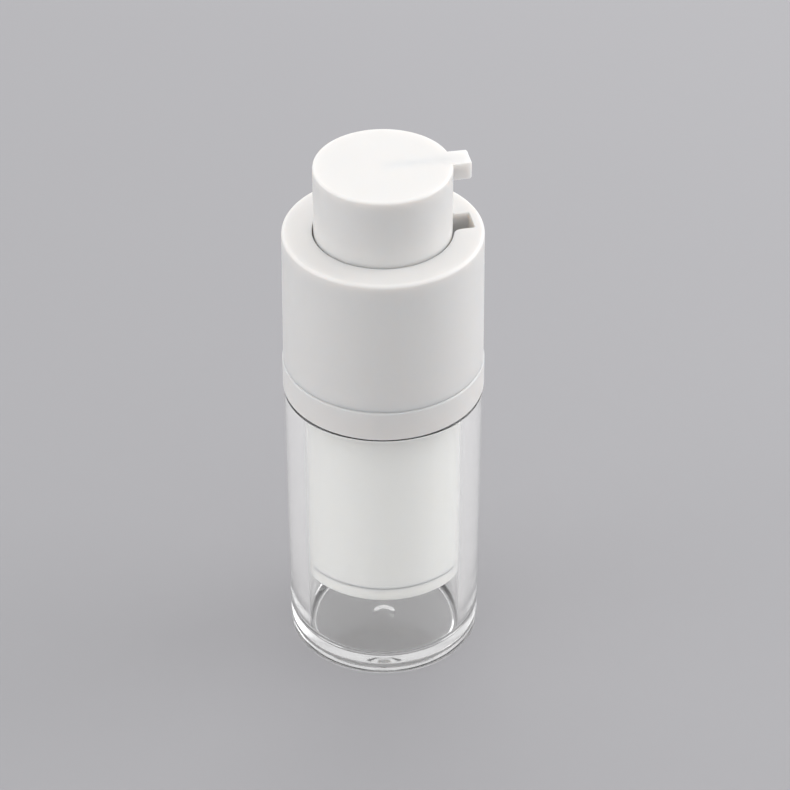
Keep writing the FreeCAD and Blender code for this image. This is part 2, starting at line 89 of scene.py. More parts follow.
class Body(Enum):
    """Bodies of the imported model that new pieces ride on."""

    BOTTLE = "bottle"
    COLLAR = "collar"
    CARRIER = "carrier"
    HEAD = "head"
    FOLLOWER = "follower"


class Slot(Enum):
    """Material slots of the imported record."""

    CLEAR = "clear_shell"
    SATIN = "white_satin"
    MILKY = "milky_inner"
    SLIDE = "slide_white"
    PUMP = "pump_natural"
    PISTON = "piston_soft"
    SEAL = "seal_soft"
    STEEL = "spring_steel"


class Cut(Enum):
    """How a tool shape meets a piece."""

    ADD = "UNION"
    REMOVE = "DIFFERENCE"


class Wire:
    """Output socket of a node. Arithmetic on it adds Math nodes to its board."""

    def __init__(self, board: "Board", socket: bpy.types.NodeSocket) -> None:
        """Keep the socket and the board that it is on."""
        self.board = board
        self.socket = socket

    def _math(self, operation: str, first: "float | Wire", second: "float | Wire") -> "Wire":
        """Add one Math node.

        Args:
            operation: Name of the Math node's operation.
            first: Left-hand value.
            second: Right-hand value.

        Returns:
            The node's output.
        """
        return self.board.node("ShaderNodeMath", {"operation": operation}, {0: first, 1: second})

    def __add__(self, other: "float | Wire") -> "Wire":
        """Sum of this value and another."""
        return self._math("ADD", self, other)

    def __radd__(self, other: float) -> "Wire":
        """Sum with a number on the left."""
        return self._math("ADD", other, self)

    def __sub__(self, other: "float | Wire") -> "Wire":
        """This value less another."""
        return self._math("SUBTRACT", self, other)

    def __rsub__(self, other: float) -> "Wire":
        """A number less this value."""
        return self._math("SUBTRACT", other, self)

    def __mul__(self, other: "float | Wire") -> "Wire":
        """Product of this value and another."""
        return self._math("MULTIPLY", self, other)

    def __rmul__(self, other: float) -> "Wire":
        """Product with a number on the left."""
        return self._math("MULTIPLY", other, self)

    def ramp(self, low: float, high: float) -> "Wire":
        """Rise from 0 to 1 as this value goes from one limit to another.

        Args:
            low: Value at and below which the result is 0.
            high: Value at and above which the result is 1.

        Returns:
            The ramp's value.
        """
        return self.board.node("ShaderNodeMapRange", {}, {0: self, 1: low, 2: high})


class Board:
    """Node tree that a finish is wired on."""

    MIX_FIRST = 6
    MIX_SECOND = 7
    MIX_RESULT = 2

    def __init__(self, tree: bpy.types.NodeTree) -> None:
        """Take over a tree and clear it."""
        self.tree = tree
        tree.nodes.clear()

    def node(
        self,
        kind: str,
        settings: Mapping[str, Setting] | None = None,
        sockets: "Mapping[int | str, SocketValue] | None" = None,
        output: int | str = 0,
    ) -> Wire | None:
        """Add a node, set it and wire it.

        Args:
            kind: Blender's name of the node's type.
            settings: Properties of the node, set before its sockets.
            sockets: Values or wires for its inputs, by name or number.
            output: Name or number of the output to go on with.

        Returns:
            The chosen output, or None where the node has no outputs.
        """
        made = self.tree.nodes.new(kind)
        for key, value in (settings or {}).items():
            setattr(made, key, value)
        for key, value in (sockets or {}).items():
            if isinstance(value, Wire):
                self.tree.links.new(value.socket, made.inputs[key])
            else:
                made.inputs[key].default_value = value
        return Wire(self, made.outputs[output]) if len(made.outputs) else None

    def noise(self, place: Wire, size: float, detail: float) -> Wire:
        """Cloudy pattern from 0 to 1.

        Args:
            place: Coordinates that it is read at.
            size: Size of its largest spots in metres.
            detail: Number of finer layers.

        Returns:
            The pattern's value.
        """
        sockets = {"Vector": place, "Scale": 1.0 / size, "Detail": detail}
        return self.node("ShaderNodeTexNoise", {}, sockets)

    def tint(self, share: Wire, first: Tint, second: Tint) -> Wire:
        """Colour between two tints.

        Args:
            share: Share of the second tint.
            first: Tint at a share of 0.
            second: Tint at a share of 1.

        Returns:
            The mixed colour.
        """
        sockets = {0: share, self.MIX_FIRST: (*first, 1.0), self.MIX_SECOND: (*second, 1.0)}
        return self.node("ShaderNodeMix", {"data_type": "RGBA"}, sockets, self.MIX_RESULT)


@dataclass(frozen=True)
class Moulding:
    """Plain moulded plastic with a fine grain and a faint cloudiness."""

    name: str
    first: Tint
    second: Tint
    roughness: float
    spread: float
    grain: float
    relief: float
    cloud: float = 9.0 * MM
    detail: float = 3.0
    index: float = 1.5

    def constants(self) -> dict[str, float | Tint]:
        """Values that are the same all over the surface."""
        return {"IOR": self.index}

    def pattern(self, board: Board, place: Wire) -> Wire:
        """Height of the surface grain, from 0 to 1."""
        return board.noise(place, self.grain, self.detail)

    def material(self) -> bpy.types.Material:
        """Make the finish as a procedural material.

        Returns:
            The new material.
        """
        material = bpy.data.materials.new(self.name)
        material.use_nodes = True
        board = Board(material.node_tree)
        place = board.node("ShaderNodeTexCoord", output="Object")
        grain = self.pattern(board, place)
        cloud = board.noise(place, self.cloud, self.detail)
        relief = board.node("ShaderNodeBump", {}, {"Distance": self.relief, "Height": grain})
        sockets = {
            "Base Color": board.tint(cloud, self.first, self.second),
            "Roughness": self.roughness + self.spread * (grain - MID_LEVEL),
            "Normal": relief,
            **self.constants(),
        }
        surface = self.surface(board, board.node("ShaderNodeBsdfPrincipled", {}, sockets))
        board.node("ShaderNodeOutputMaterial", {}, {"Surface": surface})
        return material

    def surface(self, board: Board, plastic: Wire) -> Wire:
        """Shader of the whole surface, which is the plastic's own."""
        return plastic


@dataclass(frozen=True)
class ClearMoulding(Moulding):
    """Polished clear plastic that refracts, and lets light through to what it encloses."""

    index: float = 1.49
    passing: Tint = WHITE

    def constants(self) -> dict[str, float | Tint]:
        """Full transmission at the plastic's own index."""
        return {"IOR": self.index, "Transmission Weight": 1.0}

    def surface(self, board: Board, plastic: Wire) -> Wire:
        """Pass rays that carry light on to rough surfaces straight through.

        Args:
            board: Board of the material.
            plastic: Shader of the clear plastic.

        Returns:
            The plastic, mixed with a clear pass for shadow rays and diffuse rays.
        """
        clear = board.node("ShaderNodeBsdfTransparent", {}, {"Color": (*self.passing, 1.0)})
        for ray in ("Is Diffuse Ray", "Is Shadow Ray"):
            share = board.node("ShaderNodeLightPath", output=ray)
            plastic = board.node("ShaderNodeMixShader", {}, {0: share, 1: plastic, 2: clear})
        return plastic


@dataclass(frozen=True)
class MilkyMoulding(Moulding):
    """Plastic that light soaks into, to a depth of its own for each of the three colours."""

    soak: float = 1.0 * MM
    colours: Tint = (1.0, 0.97, 0.93)

    def constants(self) -> dict[str, float | Tint]:
        """Scatter below the surface."""
        return {
            "IOR": self.index,
            "Subsurface Weight": 1.0,
            "Subsurface Scale": self.soak,
            "Subsurface Radius": self.colours,
        }


@dataclass(frozen=True)
class StudioPaper(Moulding):
    """Matt paper that shows paler through clear plastic, and darker below the bottle as painted shade."""

    through: Tint = (0.5, 0.497, 0.503)
    # Painted shade: darker tint of the paper seen through the plastic below the bottle.
    under: Tint = (0.275, 0.274, 0.28)
    painted_shade_radius: float = 17.0 * MM
    clear_radius: float = 24.0 * MM

    def surface(self, board: Board, plastic: Wire) -> Wire:
        """Show another paper to rays that have gone through the clear plastic, darkened near the axis as
        painted shade.

        Args:
            board: Board of the material.
            plastic: Shader of the paper as the camera sees it.

        Returns:
            The paper for all rays.
        """
        place = board.node("ShaderNodeTexCoord", output="Object")
        radius = board.node("ShaderNodeVectorMath", {"operation": "LENGTH"}, {0: place}, "Value")
        # Painted shade: the dark tint inside the shade radius turns to the paler tint beyond it.
        share = radius.ramp(self.painted_shade_radius, self.clear_radius)
        tint = board.tint(share, self.under, self.through)
        pale = board.node("ShaderNodeBsdfPrincipled", {}, {"Base Color": tint, "Roughness": self.roughness})
        seen = board.node("ShaderNodeLightPath", output="Is Transmission Ray")
        return board.node("ShaderNodeMixShader", {}, {0: seen, 1: plastic, 2: pale})


@dataclass(frozen=True)
class FoamSeal(Moulding):
    """Soft closed-cell foam."""

    def pattern(self, board: Board, place: Wire) -> Wire:
        """Round cells of the foam."""
        return board.node("ShaderNodeTexVoronoi", {}, {"Vector": place, "Scale": 1.0 / self.grain})


@dataclass(frozen=True)
class DrawnSteel(Moulding):
    """Drawn stainless wire with fine draw marks."""

    def constants(self) -> dict[str, float | Tint]:
        """Bare metal."""
        return {"Metallic": 1.0}


class Finish:
    """The finishes of this bottle, one for each material slot of the record."""

    def __init__(self) -> None:
        """Make each finish once."""
        mouldings = {
            Slot.CLEAR: ClearMoulding(
                "clear polished moulding", (0.99, 0.99, 0.988), (0.984, 0.984, 0.982),
                roughness=0.05, spread=0.02, grain=1.5 * MM, relief=0.0006 * MM,
            ),
            Slot.SATIN: MilkyMoulding(
                "satin white moulding", (0.725, 0.712, 0.70), (0.708, 0.695, 0.683),
                roughness=0.38, spread=0.08, grain=0.12 * MM, relief=0.002 * MM,
                soak=2.2 * MM, colours=(1.0, 0.9, 0.82),
            ),
            Slot.MILKY: MilkyMoulding(
                "milky inner moulding", (0.99, 0.943, 0.885), (0.98, 0.933, 0.875),
                roughness=0.42, spread=0.1, grain=0.5 * MM, relief=0.003 * MM,
            ),
            Slot.SLIDE: Moulding(
                "white slide moulding", (0.80, 0.80, 0.78), (0.77, 0.77, 0.75),
                roughness=0.45, spread=0.1, grain=0.3 * MM, relief=0.004 * MM,
            ),
            Slot.PUMP: MilkyMoulding(
                "natural pump moulding", (0.84, 0.84, 0.82), (0.80, 0.80, 0.78),
                roughness=0.4, spread=0.1, grain=0.3 * MM, relief=0.003 * MM,
            ),
            Slot.PISTON: MilkyMoulding(
                "soft piston moulding", (0.83, 0.84, 0.85), (0.79, 0.80, 0.81),
                roughness=0.5, spread=0.1, grain=0.3 * MM, relief=0.004 * MM,
            ),
            Slot.SEAL: FoamSeal(
                "pale foam seal", (0.72, 0.73, 0.73), (0.66, 0.67, 0.67),
                roughness=0.75, spread=0.1, grain=0.25 * MM, relief=0.05 * MM,
            ),
            Slot.STEEL: DrawnSteel(
                "drawn steel", (0.62, 0.62, 0.63), (0.55, 0.55, 0.56),
                roughness=0.28, spread=0.12, grain=0.08 * MM, relief=0.003 * MM,
            ),
        }
        self.materials = {slot: moulding.material() for slot, moulding in mouldings.items()}

    def dress(self, piece: bpy.types.Object, slot: Slot) -> None:
        """Give a piece the finish of a slot.

        Args:
            piece: New piece or carried-over node.
            slot: Slot whose finish it gets.
        """
        piece.data.materials.clear()
        piece.data.materials.append(self.materials[slot])

    def seat(self, piece: bpy.types.Object, body: Body, slot: Slot, *nodes: str) -> None:
        """Smooth and dress a new piece, let it ride on its body and stand for its nodes.

        Args:
            piece: Finished piece at the origin.
            body: Body that it moves with.
            slot: Slot whose finish it gets.
            nodes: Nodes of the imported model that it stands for.
        """
        Bench.smooth(piece)
        self.dress(piece, slot)
        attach(piece, body.value)
        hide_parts(*nodes)
        LOG.info("%s: %d faces on %s", piece.name, len(piece.data.polygons), body.value)


@dataclass(frozen=True)
class Corner:
    """Corner of a turned outline, with the rounding that breaks its edge."""

    radius: float
    height: float
    rounding: float = 0.0

    @property
    def place(self) -> Vector:
        """The corner on the XZ plane."""
        return Vector((self.radius, 0.0, self.height))


class Bench:
    """Modelling moves, each made with Blender's own operators."""

    @staticmethod
    def point(name: str, place: Vector) -> bpy.types.Object:
        """Start a new piece as one point and leave it in edit mode.

        Args:
            name: Name of the piece.
            place: Where the point is.

        Returns:
            The new object, at the origin.
        """
        bpy.ops.object.select_all(action="DESELECT")
        bpy.ops.mesh.primitive_plane_add(size=SEED_SIZE, location=ORIGIN)
        piece = bpy.context.object
        piece.name = name
        piece.data.name = name
        bpy.ops.object.mode_set(mode="EDIT")
        bpy.ops.mesh.select_all(action="SELECT")
        bpy.ops.mesh.merge(type="CENTER")
        bpy.ops.transform.translate(value=place)
        return piece

    @staticmethod
    def draw(step: Vector) -> None:
        """Extrude the selected point along a step."""
        bpy.ops.mesh.extrude_vertices_move(TRANSFORM_OT_translate={"value": step})

    @staticmethod
    def swing(angle: float, centre: Vector, steps: int) -> None:
        """Extrude the selected point along an arc.

        Args:
            angle: Counter-clockwise angle as seen from above. Blender's spin counts the other way.
            centre: Centre of the arc.
            steps: Number of straight steps.
        """
        bpy.ops.mesh.spin(steps=steps, angle=-angle, center=centre, axis=UP)

    @staticmethod
    def pick(piece: bpy.types.Object, test: Callable[[Vector], bool]) -> None:
        """Select the points of a piece in edit mode by their place.

        Args:
            piece: Piece in edit mode.
            test: Tells whether a point at a place is selected.
        """
        mesh = bmesh.from_edit_mesh(piece.data)
        for vertex in mesh.verts:
            vertex.select_set(test(vertex.co))
        mesh.select_flush_mode()
        bmesh.update_edit_mesh(piece.data)

    @staticmethod
    def pick_places(piece: bpy.types.Object, *places: Vector) -> None:
        """Select the points of a piece in edit mode that lie at given places."""
        Bench.pick(piece, lambda point: any((point - place).length < NEAR for place in places))

    @staticmethod
    def round_corner(
        piece: bpy.types.Object, before: Vector, corner: Vector, after: Vector, rounding: float
    ) -> None:
        """Round one corner of a drawn outline.

        Args:
            piece: Piece in edit mode.
            before: Corner before it.
            corner: The corner itself.
            after: Corner after it.
            rounding: Radius of the rounding.
        """
        back = before - corner
        ahead = after - corner
        reach = rounding / math.tan(back.angle(ahead) / 2)
        reach = min(reach, ROUNDING_SHARE * back.length, ROUNDING_SHARE * ahead.length)
        steps = min(MOST_ARC_STEPS, max(FEWEST_ARC_STEPS, math.ceil(rounding / ARC_STEP)))
        Bench.pick_places(piece, corner)
        bpy.ops.mesh.bevel(
            offset_type="OFFSET", offset=reach, segments=steps, affect="VERTICES", clamp_overlap=False
        )

    @staticmethod
    def turn(name: str, outline: Sequence[Corner]) -> bpy.types.Object:
        """Turn an outline about the bottle's axis.

        Args:
            name: Name of the piece.
            outline: Corners in order. An outline that starts on the axis ends there too, and any
                other one is closed.

        Returns:
            The turned piece, in object mode.
        """
        places = [corner.place for corner in outline]
        piece = Bench.point(name, places[0])
        for before, after in zip(places, places[1:]):
            Bench.draw(after - before)
        if outline[0].radius > 0:
            Bench.pick_places(piece, places[0], places[-1])
            bpy.ops.mesh.edge_face_add()
        neighbours = zip(places[-1:] + places[:-1], outline, places[1:] + places[:1])
        for before, corner, after in neighbours:
            if corner.rounding:
                Bench.round_corner(piece, before, corner.place, after, corner.rounding)
        bpy.ops.mesh.select_all(action="SELECT")
        bpy.ops.mesh.spin(steps=TURN_STEPS, angle=math.tau, center=ORIGIN, axis=UP)
        Bench.close()
        return piece

    @staticmethod
    def close() -> None:
        """Merge the doubles of the piece in edit mode, face it outwards and go back to object mode."""
        bpy.ops.mesh.select_all(action="SELECT")
        bpy.ops.mesh.remove_doubles(threshold=NEAR)
        bpy.ops.mesh.normals_make_consistent(inside=False)
        bpy.ops.object.mode_set(mode="OBJECT")

    @staticmethod
    def settle(name: str) -> bpy.types.Object:
        """Name the primitive that was added last and put its size and place in its mesh.

        Args:
            name: Name of the primitive and of its mesh.

        Returns:
            The primitive, in object mode.
        """
        made = bpy.context.object
        made.name = name
        made.data.name = name
        bpy.ops.object.transform_apply(location=True, rotation=True, scale=True)
        return made

    @staticmethod
    def block(name: str, low: Vector, high: Vector) -> bpy.types.Object:
        """Box between two corners, with its size and place in its mesh.

        Args:
            name: Name of the box.
            low: Lowest corner.
            high: Highest corner.

        Returns:
            The box, in object mode.
        """
        bpy.ops.object.select_all(action="DESELECT")
        bpy.ops.mesh.primitive_cube_add(size=1.0, location=(low + high) / 2, scale=high - low)
        return Bench.settle(name)

    @staticmethod
    def rod(name: str, radius: float, start: Vector, end: Vector) -> bpy.types.Object:
        """Round rod between two points on a line along X or Z.

        Args:
            name: Name of the rod.
            radius: Its radius.
            start: Centre of one end.
            end: Centre of the other end.

        Returns:
            The rod, in object mode.
        """
        along = end - start
        bpy.ops.object.select_all(action="DESELECT")
        bpy.ops.mesh.primitive_cylinder_add(
            vertices=ROD_STEPS,
            radius=radius,
            depth=along.length,
            location=(start + end) / 2,
            rotation=Vector(UP).rotation_difference(along).to_euler(),
        )
        return Bench.settle(name)

    @staticmethod
    def combine(piece: bpy.types.Object, tool: bpy.types.Object, how: Cut) -> None:
        """Add a tool shape to a piece or cut it away, and remove the tool.

        Args:
            piece: Piece that changes.
            tool: Shape that is used up.
            how: Whether the shape is added or removed.
        """
        step = piece.modifiers.new(how.name, "BOOLEAN")
        step.operation = how.value
        step.object = tool
        step.solver = "EXACT"
        bpy.context.view_layer.objects.active = piece
        bpy.ops.object.modifier_apply(modifier=step.name)
        bpy.data.objects.remove(tool)

    @staticmethod
    def edit(piece: bpy.types.Object) -> None:
        """Make a piece the only selected one and enter its mesh."""
        bpy.ops.object.select_all(action="DESELECT")
        piece.select_set(True)
        bpy.context.view_layer.objects.active = piece
        bpy.ops.object.mode_set(mode="EDIT")

    @staticmethod
    def smooth(piece: bpy.types.Object) -> None:
        """Shade a piece smooth, with its large faces kept plain beside its roundings."""
        Bench.edit(piece)
        Bench.close()
        bpy.ops.object.shade_smooth_by_angle(angle=CREASE)
        weigh = piece.modifiers.new("weigh", "WEIGHTED_NORMAL")
        weigh.keep_sharp = True
        bpy.ops.object.modifier_apply(modifier=weigh.name)


@dataclass
class ClearBottle:
    """Thick clear bottle with a dished gate mark under its floor, and the white ring on its neck."""

    finish: Finish
    wall: float = 3.45 * MM
    base_draft: float = 0.25 * MM
    bore_draft: float = 0.2 * MM
    floor: float = 1.85 * MM
    floor_corner: float = 2.2 * MM
    gate_radius: float = 2.15 * MM
    gate_flat: float = 0.9 * MM
    gate_depth: float = 0.5 * MM
    gate_dish: float = 2.2 * MM
    foot_width: float = 3.4 * MM
    foot_recess: float = 0.5 * MM
    base_edge: float = 0.4 * MM
    shoulder_edge: float = 0.45 * MM
    foot_edge: float = 0.2 * MM
    neck_wall: float = 2.05 * MM
    neck_edge: float = 0.3 * MM
    ring_gap: float = 0.3 * MM
    ring_edge: float = 0.2 * MM
    ring_top_edge: float = 0.35 * MM
    ring_lip: float = 0.8 * MM
    lip_wall: float = 2.15 * MM
    press_fit: float = 0.02 * MM

    def __post_init__(self) -> None:
        """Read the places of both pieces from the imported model."""
        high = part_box("outer_bottle")[1]
        self.radius = high.x
        self.neck_top = high.z
        self.neck_radius = self.radius - self.wall + self.neck_wall
        self.ring_low, self.ring_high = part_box("neck_ring")

    def bottle(self) -> bpy.types.Object:
        """Turn the clear bottle."""
        bore = self.radius - self.wall
        base = self.radius - self.base_draft
        foot_inner = base - self.foot_width
        shoulder = self.ring_low.z - self.ring_gap
        gate_top = self.foot_recess + self.gate_depth
        return Bench.turn("clear_bottle", [
            Corner(0.0, gate_top),
            Corner(self.gate_flat, gate_top, self.gate_dish),
            Corner(self.gate_radius, self.foot_recess, self.foot_edge),
            Corner(foot_inner - self.foot_recess, self.foot_recess, self.base_edge),
            Corner(foot_inner, 0.0, self.foot_edge),
            Corner(base, 0.0, self.base_edge),
            Corner(self.radius, shoulder, self.shoulder_edge),
            Corner(self.neck_radius, shoulder),
            Corner(self.neck_radius, self.neck_top, self.neck_edge),
            Corner(bore, self.neck_top, self.neck_edge),
            Corner(bore - self.bore_draft, self.floor, self.floor_corner),
            Corner(0.0, self.floor),
        ])

    def ring(self) -> bpy.types.Object:
        """Turn the ring on the neck."""
        bore = self.neck_radius + self.press_fit
        lip_bore = self.ring_high.x - self.lip_wall
        lip_low = self.ring_high.z - self.ring_lip
        return Bench.turn("neck_band", [
            Corner(bore, self.ring_low.z),
            Corner(self.ring_high.x, self.ring_low.z, self.ring_edge),
            Corner(self.ring_high.x, self.ring_high.z, self.ring_top_edge),
            Corner(lip_bore, self.ring_high.z),
            Corner(lip_bore, lip_low),
            Corner(bore, lip_low),
        ])

    def build(self) -> None:
        """Make and seat both pieces."""
        self.finish.seat(self.bottle(), Body.BOTTLE, Slot.CLEAR, "outer_bottle")
        self.finish.seat(self.ring(), Body.BOTTLE, Slot.SATIN, "neck_ring")


@dataclass
class TurningCollar:
    """White collar with the bore for the button and the slot for its nozzle."""

    finish: Finish
    bore_wall: float = 1.0 * MM
    foot_relief: float = 0.12 * MM
    draft: float = 0.35 * MM
    top_edge: float = 0.6 * MM
    foot_edge: float = 0.05 * MM
    foot_drop: float = 0.1 * MM
    plate: float = 1.6 * MM
    guide_wall: float = 1.0 * MM
    guide_gap: float = 0.25 * MM
    guide_clearance: float = 0.3 * MM
    rim_edge: float = 0.15 * MM
    rim_steps: int = 3
    nozzle_width: float = 4.1 * MM
    slot_side_gap: float = 0.3 * MM
    slot_end_gap: float = 0.6 * MM
    slot_fillet: float = 1.6 * MM
    slot_corner: float = 0.3 * MM
    slot_wall: float = 1.0 * MM

    def __post_init__(self) -> None:
        """Read the collar's place, and what it clears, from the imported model."""
        low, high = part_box("twist_collar")
        button_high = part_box("push_button")[1]
        self.low = low.z - self.foot_drop
        self.top = high.z
        self.foot_radius = high.y - self.foot_relief
        self.top_radius = high.y - self.draft
        self.inner = self.top_radius - self.bore_wall
        self.mouth = button_high.y + self.guide_gap
        self.guide_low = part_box("cam_sleeve")[1].z + self.guide_clearance
        self.slot_half = self.nozzle_width / 2 + self.slot_side_gap
        self.slot_end = button_high.x + self.slot_end_gap

    def blank(self) -> bpy.types.Object:
        """Turn the collar with an undersized bore and thicken it under the slot."""
        plate_low = self.top - self.plate
        guide = self.mouth + self.guide_wall
        bore = self.mouth - self.guide_wall
        collar = Bench.turn("turning_collar", [
            Corner(self.inner, self.low),
            Corner(self.foot_radius, self.low, self.foot_edge),
            Corner(self.top_radius, self.top, self.top_edge),
            Corner(bore, self.top),
            Corner(bore, self.guide_low),
            Corner(guide, self.guide_low),
            Corner(guide, plate_low),
            Corner(self.inner, plate_low),
        ])
        half = self.slot_half + self.slot_wall
        pocket = Bench.block(
            "slot_pocket",
            Vector((self.mouth, -half, self.guide_low)),
            Vector((self.inner + self.bore_wall / 2, half, plate_low + self.plate / 2)),
        )
        Bench.combine(collar, pocket, Cut.ADD)
        return collar

    def opening(self) -> bpy.types.Object:
        """Shape of the mouth with the nozzle slot, from arcs that run into each other.

        Returns:
            A prism that cuts the opening out of the blank.
        """
        low = self.guide_low - OVERRUN
        across = self.slot_half + self.slot_fillet
        reach = math.sqrt((self.mouth + self.slot_fillet) ** 2 - across ** 2)
        lean = math.atan2(across, reach)
        sweep = math.pi / 2 - lean
        start = Vector((reach, self.slot_half, low))
        far = Vector((self.slot_end, self.slot_half, low))
        near = Vector((self.slot_end, -self.slot_half, low))
        last = Vector((reach, -self.slot_half, low))
        prism = Bench.point("mouth_and_slot", start)
        Bench.swing(-sweep, Vector((reach, across, low)), MOST_ARC_STEPS)
        Bench.swing(math.tau - 2 * lean, Vector(ORIGIN), TURN_STEPS)
        Bench.swing(-sweep, Vector((reach, -across, low)), MOST_ARC_STEPS)
        Bench.draw(Vector((self.slot_end - reach, 0.0, 0.0)))
        Bench.draw(Vector((0.0, 2 * self.slot_half, 0.0)))
        Bench.pick_places(prism, start, far)
        bpy.ops.mesh.edge_face_add()
        Bench.round_corner(prism, start, far, near, self.slot_corner)
        Bench.round_corner(prism, far, near, last, self.slot_corner)
        bpy.ops.mesh.select_all(action="SELECT")
        bpy.ops.mesh.remove_doubles(threshold=NEAR)
        bpy.ops.mesh.edge_face_add()
        height = self.top + OVERRUN - low
        bpy.ops.mesh.extrude_region_move(TRANSFORM_OT_translate={"value": (0.0, 0.0, height)})
        Bench.close()
        return prism

    def on_rim(self, point: Vector) -> bool:
        """Tell whether a point lies on the rim of the opening, in the top face."""
        return abs(point.z - self.top) < NEAR and point.xy.length < self.slot_end + self.slot_corner

    def build(self) -> None:
        """Cut the opening, break its rim and seat the collar."""
        collar = self.blank()
        Bench.combine(collar, self.opening(), Cut.REMOVE)
        Bench.edit(collar)
        bpy.ops.mesh.select_all(action="SELECT")
        bpy.ops.mesh.remove_doubles(threshold=CUT_NEAR)
        Bench.pick(collar, self.on_rim)
        bpy.ops.mesh.bevel(
            offset=self.rim_edge, segments=self.rim_steps, affect="EDGES", clamp_overlap=False
        )
        bpy.ops.object.mode_set(mode="OBJECT")
        self.finish.seat(collar, Body.COLLAR, Slot.SATIN, "twist_collar")


@dataclass
class PushButton:
    """White push button with its side nozzle, outlet duct and stem socket."""

    finish: Finish
    plate: float = 1.6 * MM
    wall: float = 1.1 * MM
    top_edge: float = 0.5 * MM
    skirt_edge: float = 0.2 * MM
    boss_wall: float = 1.5 * MM
    stem_radius: float = 2.9 * MM
    stem_bore: float = 1.3 * MM
    press_fit: float = 0.02 * MM
    spring_seat: float = 1.2 * MM
    nozzle_width: float = 4.1 * MM
    nozzle_tip_width: float = 4.0 * MM
    nozzle_height: float = 3.15 * MM
    nozzle_edge: float = 0.3 * MM
    outlet_radius: float = 1.0 * MM
    duct_wall: float = 0.7 * MM
    key_slot_width: float = 2.0 * MM
    key_slot_room: float = 3.8 * MM

    def __post_init__(self) -> None:
        """Read the button's place, and what it sits on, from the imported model."""
        low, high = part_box("push_button")
        self.low = low.z
        self.top = high.z
        self.radius = high.y
        self.tip = high.x
        self.stem_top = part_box("pump_stem")[1].z
        self.boss_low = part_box("return_spring")[1].z + self.spring_seat
        self.key_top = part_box("lift_carrier")[1].z + self.key_slot_room

    def shell(self) -> bpy.types.Object:
        """Turn the button with its stem socket."""
        bore = self.radius - self.wall
        socket = self.stem_radius + self.press_fit
        boss = socket + self.boss_wall
        plate_low = self.top - self.plate
        return Bench.turn("push_button_shell", [
            Corner(0.0, self.stem_top),
            Corner(socket, self.stem_top),
            Corner(socket, self.boss_low),
            Corner(boss, self.boss_low),
            Corner(boss, plate_low),
            Corner(bore, plate_low),
            Corner(bore, self.low),
            Corner(self.radius, self.low, self.skirt_edge),
            Corner(self.radius, self.top, self.top_edge),
            Corner(0.0, self.top),
        ])

    def at_tip(self, point: Vector) -> bool:
        """Tell whether a point of the spout lies outside the button's wall."""
        return point.x > self.radius

    def nozzle(self) -> bpy.types.Object:
        """Spout that narrows to its tip, with its tip's edges rounded."""
        root = self.radius - self.wall / 2
        half = self.nozzle_width / 2
        low = Vector((root, -half, self.top - self.nozzle_height))
        spout = Bench.block("nozzle", low, Vector((self.tip, half, self.top)))
        Bench.edit(spout)
        Bench.pick(spout, self.at_tip)
        bpy.ops.transform.resize(value=(1.0, self.nozzle_tip_width / self.nozzle_width, 1.0))
        Bench.pick(spout, self.at_tip)
        bpy.ops.mesh.bevel(
            offset=self.nozzle_edge, segments=FEWEST_ARC_STEPS, affect="EDGES", clamp_overlap=False
        )
        Bench.close()
        return spout

    def duct(self) -> bpy.types.Object:
        """Box under the plate that the outlet runs through."""
        half = self.outlet_radius + self.duct_wall
        low = Vector((self.stem_radius + self.press_fit, -half, self.top - self.nozzle_height))
        high = Vector((self.radius - self.wall / 2, half, self.top - self.plate / 2))
        return Bench.block("duct", low, high)

    def bores(self) -> list[bpy.types.Object]:
        """Tools for the rising bore, the outlet and the two key slots of the skirt."""
        outlet_height = self.top - self.nozzle_height / 2
        rise = Vector((0.0, 0.0, self.stem_top - OVERRUN))
        bend = Vector((0.0, 0.0, outlet_height))
        outlet_end = Vector((self.tip + OVERRUN, 0.0, outlet_height))
        half = self.key_slot_width / 2
        inner = self.radius - self.wall - OVERRUN
        outer = self.radius + OVERRUN
        slot_low = self.low - OVERRUN
        return [
            Bench.rod("rising_bore", self.stem_bore, rise, bend),
            Bench.rod("outlet", self.outlet_radius, bend, outlet_end),
            Bench.block(
                "left_key_slot", Vector((-half, inner, slot_low)), Vector((half, outer, self.key_top))
            ),
            Bench.block(
                "right_key_slot", Vector((-half, -outer, slot_low)), Vector((half, -inner, self.key_top))
            ),
        ]

    def build(self) -> None:
        """Put the button together and seat it."""
        button = self.shell()
        for tool in (self.duct(), self.nozzle()):
            Bench.combine(button, tool, Cut.ADD)
        for tool in self.bores():
            Bench.combine(button, tool, Cut.REMOVE)
        self.finish.seat(button, Body.HEAD, Slot.SATIN, "push_button")


